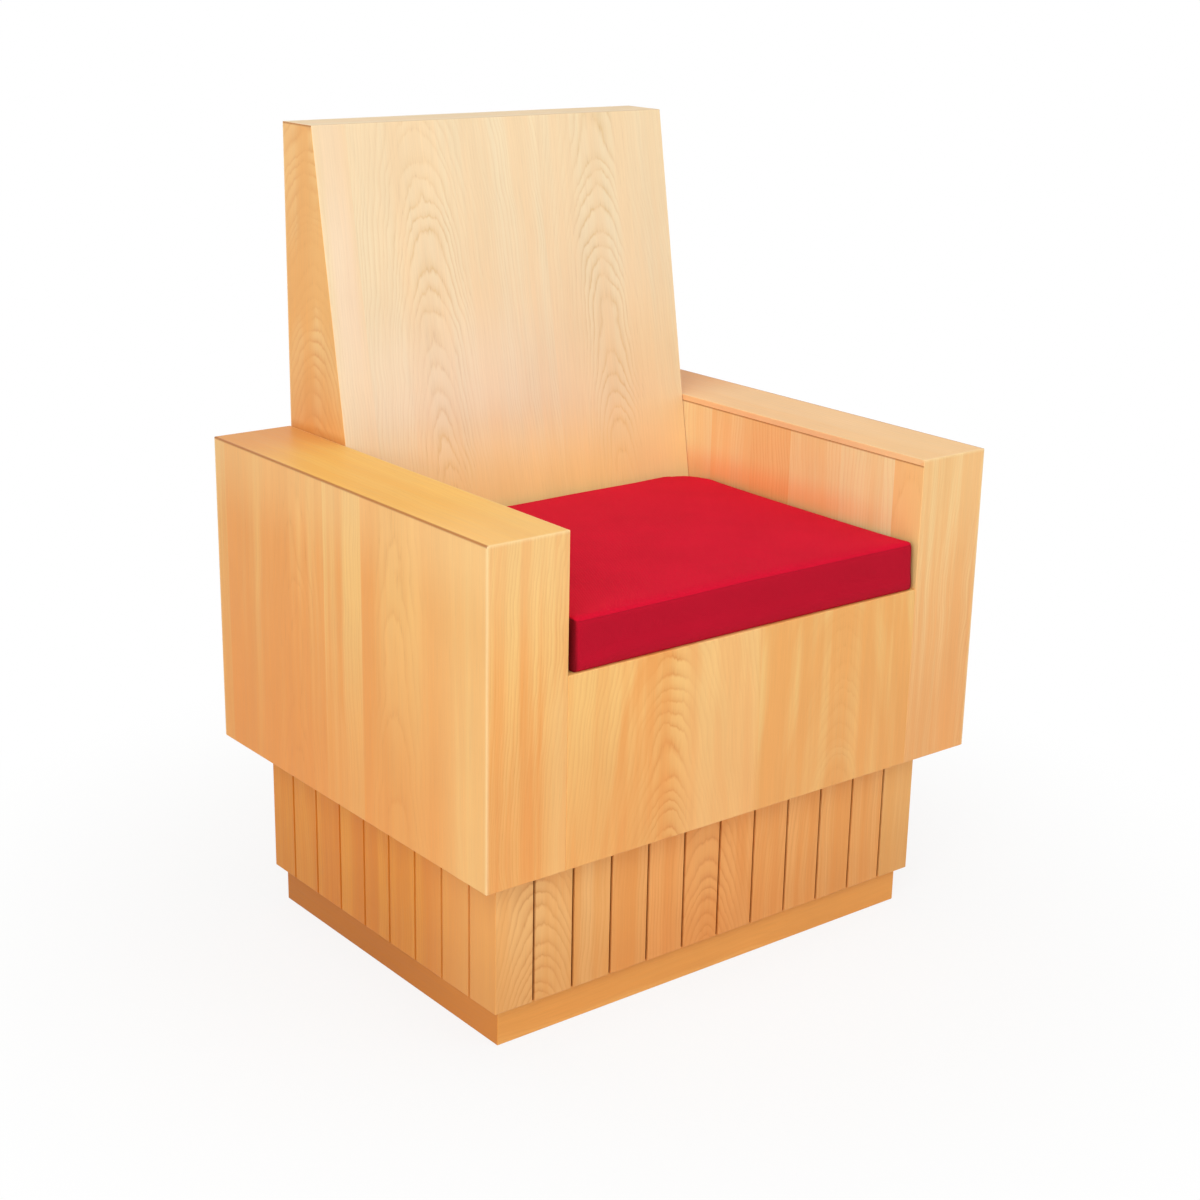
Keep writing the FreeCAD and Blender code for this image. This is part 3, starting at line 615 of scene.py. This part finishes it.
def blackCloth(name, look):
    material, tree, shader, axes = newMaterial(name)
    fuzz = evenCloud(tree, axes, look["scale"], 4.0)
    pile = sums(tree, "MULTIPLY", fuzz, clothPile["fuzzShare"])
    pile = sums(tree, "MULTIPLY_ADD", cells(tree, look["tuftScale"]), clothPile["tuftShare"], pile)
    colour = blendColours(tree, remap(tree, pile, *clothPile["range"]), look["dark"], look["light"])
    shader.inputs["Sheen Weight"].default_value = clothPile["sheen"]
    roughness = remap(tree, fuzz, *cloudWide, *clothPile["roughness"])
    finishWith(tree, shader, colour, pile, roughness, clothPile["bump"], clothPile["bumpDepth"])
    return material


slotFinishes = {
    "inner_board": boardTimber("plywood", plywood),
    "biscuit_beech": boardTimber("pressedBeech", pressedBeech),
    "screw_steel": zincPlate(),
    "dust_cloth": blackCloth("liningCloth", liningCloth),
    "grip_tape": blackCloth("gripTape", gripTape),
}
for piece in frame["record"]["subparts"]:
    if piece["material_slot"] in slotFinishes:
        dress(piece["node"], slotFinishes[piece["material_slot"]])
print("inner pieces dressed")

# Seat pad, swollen from a block set in from the pad's box by these gaps, or out where one is below 0
seatPad = {
    "leftGap": 0.0005,
    "rightGap": -0.003,
    "frontGap": -0.0008,
    "rearGap": 0.0025,
    "topGap": 0.0031,
    "frontCorner": 0.001,
    "rearCorner": 0.044,
    "cornerSegments": 12,
    "topEdge": 0.002,
    "footEdge": 0.002,
    "edgeSegments": 4,
    "voxel": 0.005,
    "drawIn": 0.003,
    "drawPower": 5,
    "footDraw": 0.4,
    "footCorner": 0.11,
    "footRise": 3,
    "crown": 0.0035,
    "crownPower": 3,
    "crownEase": 0.75,
    "pinned": 0.002,
    "pressure": 4.0,
    "frames": 20,
    "mostSwell": (0.0015, 0.0015, 0.0006),
    "footBand": 0.014,
    "smoothing": 0.4,
    "unevenness": 0.0005,
    "unevenScale": 9.0,
    "flat": 0.0012,
    "downward": -0.7,
    "recess": 0.0002,
}
tolerance = 1e-5
padLow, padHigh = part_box("pad_cover")
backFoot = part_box("back_front_panel")[0]
topLow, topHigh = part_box("back_top_panel")
backLean = (topLow.y - backFoot.y) / (topHigh.z - backFoot.z)


def meshPiece(name, shape):
    mesh = bpy.data.meshes.new(name)
    shape.to_mesh(mesh)
    shape.free()
    piece = bpy.data.objects.new(name, mesh)
    scene.collection.objects.link(piece)
    return piece


def applyModifiers(piece):
    bpy.context.view_layer.update()
    evaluated = piece.evaluated_get(bpy.context.evaluated_depsgraph_get())
    mesh = bpy.data.meshes.new_from_object(evaluated)
    piece.modifiers.clear()
    old = piece.data
    piece.data = mesh
    bpy.data.meshes.remove(old)


def bevelEdges(shape, edges, offset, segments):
    bmesh.ops.bevel(
        shape, geom=edges, offset=offset, offset_type="OFFSET", affect="EDGES",
        segments=segments, profile=0.5, material=-1,
    )


def padBlock():
    shape = bmesh.new()
    bmesh.ops.create_cube(shape, size=1.0)
    low = padLow + Vector((seatPad["leftGap"], seatPad["frontGap"], 0.0))
    high = padHigh - Vector((seatPad["rightGap"], seatPad["rearGap"], seatPad["topGap"]))
    middle = (low + high) / 2
    bmesh.ops.scale(shape, vec=high - low, verts=shape.verts)
    bmesh.ops.translate(shape, vec=middle, verts=shape.verts)

    def upright(edge, rear):
        first, second = (vert.co for vert in edge.verts)
        return abs(first.z - second.z) > tolerance and (first.y > middle.y) == rear

    def level(edge, height):
        return all(abs(vert.co.z - height) < tolerance for vert in edge.verts)

    for rear, radius in ((False, seatPad["frontCorner"]), (True, seatPad["rearCorner"])):
        corners = [edge for edge in shape.edges if upright(edge, rear)]
        bevelEdges(shape, corners, radius, seatPad["cornerSegments"])
    for height, radius in ((high.z, seatPad["topEdge"]), (low.z, seatPad["footEdge"])):
        rim = [edge for edge in shape.edges if level(edge, height)]
        bevelEdges(shape, rim, radius, seatPad["edgeSegments"])
    return meshPiece("seatPad", shape)


def shapePad(piece):
    # the sides pull in between the corners, the rear follows the backrest, the top is crowned,
    # and the rear corners are tighter at the foot, round the board
    middle = (padLow + padHigh) / 2
    half = (padHigh - padLow) / 2
    for vert in piece.data.vertices:
        across = (vert.co.x - middle.x) / half.x
        deep = (vert.co.y - middle.y) / half.y
        up = (vert.co.z - padLow.z) / (2 * half.z)
        rise = min(1.0, seatPad["footRise"] * up)
        drawIn = seatPad["drawIn"] * (seatPad["footDraw"] + (1 - seatPad["footDraw"]) * rise)
        side = abs(vert.co.x - middle.x) - (half.x - seatPad["rearCorner"])
        back = vert.co.y - (padHigh.y - seatPad["rearCorner"])
        if side > 0 and back > 0:
            turn = 2 * side * back / (side ** 2 + back ** 2)
            spread = seatPad["footCorner"] * (1 - rise ** 2) * turn ** 2
            vert.co.x += math.copysign(spread * side, vert.co.x - middle.x)
            vert.co.y += spread * back
        pull = drawIn * (1 - min(1.0, abs(across)) ** 2)
        pinch = drawIn * (1 - min(1.0, abs(deep)) ** 2)
        vert.co.y -= pull * deep ** seatPad["drawPower"]
        vert.co.x -= pinch * across ** seatPad["drawPower"]
        rearShare = max(0.0, deep)
        vert.co.y -= rearShare * backLean * (padHigh.z - vert.co.z)
        dome = max(0.0, 1 - across ** 2) * max(0.0, 1 - deep ** 2)
        vert.co.z += seatPad["crown"] * up ** seatPad["crownPower"] * dome ** seatPad["crownEase"]


def swell(piece):
    rest = [vert.co.copy() for vert in piece.data.vertices]
    foot = piece.vertex_groups.new(name="foot")
    held = padLow.z + seatPad["pinned"]
    foot.add([i for i, place in enumerate(rest) if place.z < held], 1.0, "REPLACE")
    cloth = piece.modifiers.new("swell", "CLOTH")
    cloth.settings.use_pressure = True
    cloth.settings.uniform_pressure_force = seatPad["pressure"]
    cloth.settings.vertex_group_mass = "foot"
    cloth.settings.effector_weights.gravity = 0
    cloth.point_cache.frame_end = seatPad["frames"]
    for step in range(1, seatPad["frames"] + 1):
        scene.frame_set(step)
    evaluated = piece.evaluated_get(bpy.context.evaluated_depsgraph_get())
    swollen = [vert.co.copy() for vert in evaluated.data.vertices]
    piece.modifiers.clear()
    piece.vertex_groups.clear()
    for vert, start, end in zip(piece.data.vertices, rest, swollen):
        for axis, most in enumerate(seatPad["mostSwell"]):
            vert.co[axis] = start[axis] + most * math.tanh((end[axis] - start[axis]) / most)
    scene.frame_set(1)


pad = padBlock()
remesh = pad.modifiers.new("grid", "REMESH")
remesh.mode = "VOXEL"
remesh.voxel_size = seatPad["voxel"]
applyModifiers(pad)
shapePad(pad)
swell(pad)
print("seat pad swollen,", len(pad.data.vertices), "points")


def finishPad(piece):
    shape = bmesh.new()
    shape.from_mesh(piece.data)
    upper = [vert for vert in shape.verts if vert.co.z > padLow.z + seatPad["footBand"]]
    bmesh.ops.smooth_vert(
        shape, verts=upper, factor=seatPad["smoothing"],
        use_axis_x=True, use_axis_y=True, use_axis_z=True,
    )
    for vert in upper:
        vert.co.z += seatPad["unevenness"] * noise.noise(vert.co * seatPad["unevenScale"])
    for vert in shape.verts:
        if vert.co.z < padLow.z + seatPad["flat"]:
            vert.co.z = padLow.z
    shape.to_mesh(piece.data)
    shape.free()
    finer = piece.modifiers.new("finer", "SUBSURF")
    finer.levels = 1
    finer.render_levels = 1
    applyModifiers(piece)


def openUnderside(piece):
    # the cover is turned under the board and leaves a window, where the dust cloth shows
    low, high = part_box("pad_dust_cloth")
    shape = bmesh.new()
    shape.from_mesh(piece.data)

    def facesDown(face):
        below = face.calc_center_median().z < padLow.z + seatPad["flat"]
        return below and face.normal.z < seatPad["downward"]

    def underside():
        return [face for face in shape.faces if facesDown(face)]

    for axis in (0, 1):
        for at in (low, high):
            faces = underside()
            edges = list(dict.fromkeys(edge for face in faces for edge in face.edges))
            verts = list(dict.fromkeys(vert for face in faces for vert in face.verts))
            across = Vector((1.0 - axis, float(axis), 0.0))
            bmesh.ops.bisect_plane(
                shape, geom=verts + edges + faces, dist=1e-6, plane_co=at, plane_no=across,
            )
    window = []
    for face in underside():
        middle = face.calc_center_median()
        if low.x < middle.x < high.x and low.y < middle.y < high.y:
            window.append(face)
    bmesh.ops.delete(shape, geom=window, context="FACES")
    rim = [edge for edge in shape.edges if edge.is_boundary]
    raised = bmesh.ops.extrude_edge_only(shape, edges=rim)["geom"]
    for part in raised:
        if isinstance(part, bmesh.types.BMVert):
            part.co.z = high.z + seatPad["recess"]
    bmesh.ops.edgeloop_fill(shape, edges=[edge for edge in shape.edges if edge.is_boundary])
    bmesh.ops.recalc_face_normals(shape, faces=shape.faces)
    shape.to_mesh(piece.data)
    shape.free()


redCloth = {
    "light": paint(223, 9, 49),
    "dark": paint(207, 4, 42),
    "shade": paint(150, 14, 33),
    "deep": paint(92, 6, 14),
    "mottleScale": 14.0,
    "mottleShare": 0.4,
    "fuzzScale": 620.0,
    "fuzzShare": 0.6,
    "fuzzHeight": 0.5,
    "threads": 900.0,
    "weaveShade": 0.30,
    "weaveDepth": 0.0004,
    # topTilt, topFade and sideShade: painted shade on the pad's sides, darker than the top
    "topTilt": 0.30,
    "topFade": 0.45,
    "sideShade": 0.50,
    "seamAt": 0.3,
    "seamLine": 0.05,
    "seamFade": 0.25,
    "seamShade": 0.45,
    "seamHeight": -1.5,
    # the end values and deep: painted shadow on the pad's ends and front corners, where the arms shade
    # them
    "endTilt": 0.55,
    "endTurn": 0.3,
    "endEdge": 0.007,
    "endFade": 0.004,
    "endShade": 0.8,
    "sheen": 0.04,
    "sheenRoughness": 0.5,
    "sheenTint": paint(236, 120, 130),
    "gloss": 0.12,
    "roughness": (0.82, 0.95),
    "bump": 0.5,
}


def eased(share):
    held = min(1.0, max(0.0, share))
    return held * held * (3 - 2 * held)


def clothMap(piece):
    # threads run straight over the top and down each side
    threads = piece.data.uv_layers.new(name="threads")
    for face in piece.data.polygons:
        face.use_smooth = True
        flat = max(range(3), key=lambda axis: abs(face.normal[axis]))
        first, second = [axis for axis in range(3) if axis != flat]
        for loop in face.loop_indices:
            place = piece.data.vertices[piece.data.loops[loop].vertex_index].co
            threads.data[loop].uv = (place[first], place[second])
    # how far each point faces up, and how far it lies in the painted shadow at the ends and front
    # corners
    top = piece.data.attributes.new("topPanel", "FLOAT", "POINT")
    end = piece.data.attributes.new("paintedEndShadow", "FLOAT", "POINT")
    left = min(vert.co.x for vert in piece.data.vertices)
    right = max(vert.co.x for vert in piece.data.vertices)
    for vert in piece.data.vertices:
        upward = eased((vert.normal.z - redCloth["topTilt"]) / redCloth["topFade"])
        sideways = eased((abs(vert.normal.x) - redCloth["endTilt"]) / redCloth["endTurn"])
        fromEnd = min(vert.co.x - left, right - vert.co.x)
        cornerShadow = (1 - upward) * eased((redCloth["endEdge"] - fromEnd) / redCloth["endFade"])
        top.data[vert.index].value = upward
        end.data[vert.index].value = max(cornerShadow, sideways)


def wovenWool():
    material, tree, shader, axes = newMaterial("redWool")
    uv = addNode(tree, "ShaderNodeUVMap", uv_map="threads").outputs[0]
    across, along = addNode(tree, "ShaderNodeSeparateXYZ", {0: uv}).outputs[:2]
    turns = redCloth["threads"] * math.pi
    warp = sums(tree, "SINE", sums(tree, "MULTIPLY", across, turns))
    weft = sums(tree, "SINE", sums(tree, "MULTIPLY", along, turns))
    weave = sums(tree, "MULTIPLY_ADD", sums(tree, "MULTIPLY", warp, weft), 0.5, 0.5)
    mottle = evenCloud(tree, axes, redCloth["mottleScale"], 3.0)
    fuzz = evenCloud(tree, axes, redCloth["fuzzScale"], 3.0)
    share = sums(tree, "MULTIPLY", mottle, redCloth["mottleShare"])
    share = sums(tree, "MULTIPLY_ADD", fuzz, redCloth["fuzzShare"], share)
    colour = blendColours(tree, remap(tree, share, *cloudNarrow), redCloth["dark"], redCloth["light"])
    between = remap(tree, weave, 0.0, 0.5, redCloth["weaveShade"], 0.0)
    colour = blendColours(tree, between, colour, redCloth["shade"])

    # the strip round the sides gets painted shade, darker than the lit top, and is sewn on below the top
    # edge
    top = addNode(tree, "ShaderNodeAttribute", attribute_name="topPanel").outputs["Fac"]
    side = remap(tree, top, 0.0, 1.0, redCloth["sideShade"], 0.0)
    colour = blendColours(tree, side, colour, redCloth["shade"])
    fromSeam = sums(tree, "ABSOLUTE", sums(tree, "SUBTRACT", top, redCloth["seamAt"]))
    seam = remap(tree, fromSeam, redCloth["seamLine"], redCloth["seamFade"], 1.0, 0.0)
    sewn = sums(tree, "MULTIPLY", seam, redCloth["seamShade"])
    colour = blendColours(tree, sewn, colour, redCloth["shade"])
    # painted shadow on the ends and front corners, where the arms shade them
    end = addNode(tree, "ShaderNodeAttribute", attribute_name="paintedEndShadow").outputs["Fac"]
    dark = sums(tree, "MULTIPLY", end, redCloth["endShade"])
    colour = blendColours(tree, dark, colour, redCloth["deep"])
    shader.inputs["Sheen Weight"].default_value = redCloth["sheen"]
    shader.inputs["Sheen Roughness"].default_value = redCloth["sheenRoughness"]
    shader.inputs["Sheen Tint"].default_value = redCloth["sheenTint"]
    shader.inputs["Specular IOR Level"].default_value = redCloth["gloss"]
    height = sums(tree, "MULTIPLY_ADD", fuzz, redCloth["fuzzHeight"], weave)
    height = sums(tree, "MULTIPLY_ADD", seam, redCloth["seamHeight"], height)
    roughness = remap(tree, fuzz, *cloudWide, *redCloth["roughness"])
    finishWith(tree, shader, colour, height, roughness, redCloth["bump"], redCloth["weaveDepth"])
    return material


finishPad(pad)
openUnderside(pad)
clothMap(pad)
pad.data.materials.append(wovenWool())
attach(pad, "seat_pad")
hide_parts("pad_cover", "pad_foam")
print("seat pad finished,", len(pad.data.polygons), "faces")

# Camera at the photograph's viewing angle, on a square image
viewpoint = {
    "place": (-1.442, -1.813, 1.134),
    "azimuth": -38.57,
    "elevation": 17.89,
    "roll": 1.11,
    "focalPixels": 2072.0,
    "imageSide": 1200.0,
    "sensor": 36.0,
}


def addCamera():
    turn = math.radians(viewpoint["azimuth"])
    tilt = math.radians(viewpoint["elevation"])
    ahead = Vector((-math.sin(turn) * math.cos(tilt), math.cos(turn) * math.cos(tilt), -math.sin(tilt)))
    camera = bpy.data.objects.new("camera", bpy.data.cameras.new("camera"))
    scene.collection.objects.link(camera)
    level = ahead.to_track_quat("-Z", "Y").to_matrix().to_4x4()
    roll = Matrix.Rotation(math.radians(viewpoint["roll"]), 4, "Z")
    camera.matrix_world = Matrix.Translation(viewpoint["place"]) @ level @ roll
    camera.data.sensor_width = viewpoint["sensor"]
    camera.data.lens = viewpoint["sensor"] * viewpoint["focalPixels"] / viewpoint["imageSide"]
    scene.camera = camera


# Soft studio light: a wide lamp to the left, weaker ones all round and an even surround
lamps = {
    "frontLamp": {"place": (-2.5, -2.0, 1.9), "side": 2.2, "power": 64.0},
    "rightLamp": {"place": (1.6, -2.4, 1.6), "side": 1.8, "power": 12.0},
    "topLamp": {"place": (-0.2, -0.5, 3.0), "side": 2.0, "power": 18.5},
    "rearLamp": {"place": (-0.3, 3.2, 0.8), "side": 1.4, "power": 22.0},
    "sideLamp": {"place": (3.2, -0.2, 0.8), "side": 1.4, "power": 18.0},
}
surround = {"strength": 0.40, "aim": (0.0, 0.0, 0.45)}


def inSight(tree):
    # 1 where the camera or a reflection sees the surface, 0 where it only lights others
    seen = addNode(tree, "ShaderNodeLightPath").outputs
    return sums(tree, "MAXIMUM", seen["Is Camera Ray"], seen["Is Glossy Ray"])


def addLamps():
    for name, lamp in lamps.items():
        data = bpy.data.lights.new(name, "AREA")
        data.shape = "SQUARE"
        data.size = lamp["side"]
        data.energy = lamp["power"]
        piece = bpy.data.objects.new(name, data)
        scene.collection.objects.link(piece)
        piece.location = lamp["place"]
        toward = Vector(surround["aim"]) - Vector(lamp["place"])
        piece.rotation_euler = toward.to_track_quat("-Z", "Y").to_euler()
    world = bpy.data.worlds.new("surround")
    world.use_nodes = True
    scene.world = world
    tree = world.node_tree
    sky = tree.nodes["Background"].inputs
    sky["Color"].default_value = grey(1.0)
    strength = remap(tree, inSight(tree), 0.0, 1.0, surround["strength"], 1.0)
    tree.links.new(strength, sky["Strength"])


# Plain white floor that keeps a faint shadow
floorSheet = {
    "half": 6.0, "segments": 12, "drop": 0.0004, "colour": paint(236, 236, 234), "roughness": 0.9,
    "shadowNear": 0.40, "shadowFar": 0.95, "shadow": 0.16,
}


def addFloor():
    shape = bmesh.new()
    count = floorSheet["segments"]
    bmesh.ops.create_grid(shape, x_segments=count, y_segments=count, size=floorSheet["half"])
    bmesh.ops.translate(shape, vec=(0.0, 0.0, -floorSheet["drop"]), verts=shape.verts)
    floor = meshPiece("floor", shape)
    material, tree, shader, axes = newMaterial("floorWhite")
    shader.inputs["Base Color"].default_value = floorSheet["colour"]
    shader.inputs["Roughness"].default_value = floorSheet["roughness"]
    flat = addNode(tree, "ShaderNodeCombineXYZ", {0: axes["x"], 1: axes["y"]}).outputs[0]
    away = addNode(tree, "ShaderNodeVectorMath", {0: flat}, operation="LENGTH").outputs["Value"]
    near, far = floorSheet["shadowNear"], floorSheet["shadowFar"]
    keep = remap(tree, away, near, far, floorSheet["shadow"], 0.0, smooth=True)
    share = sums(tree, "MULTIPLY", inSight(tree), sums(tree, "SUBTRACT", 1.0, keep))
    glow = addNode(tree, "ShaderNodeEmission", {"Color": grey(1.0), "Strength": 1.0}).outputs[0]
    mixed = addNode(tree, "ShaderNodeMixShader", {0: share, 1: shader.outputs[0], 2: glow}).outputs[0]
    tree.links.new(mixed, tree.nodes["Material Output"].inputs["Surface"])
    floor.data.materials.append(material)


addCamera()
addLamps()
addFloor()
print("camera, lamps and floor in place")
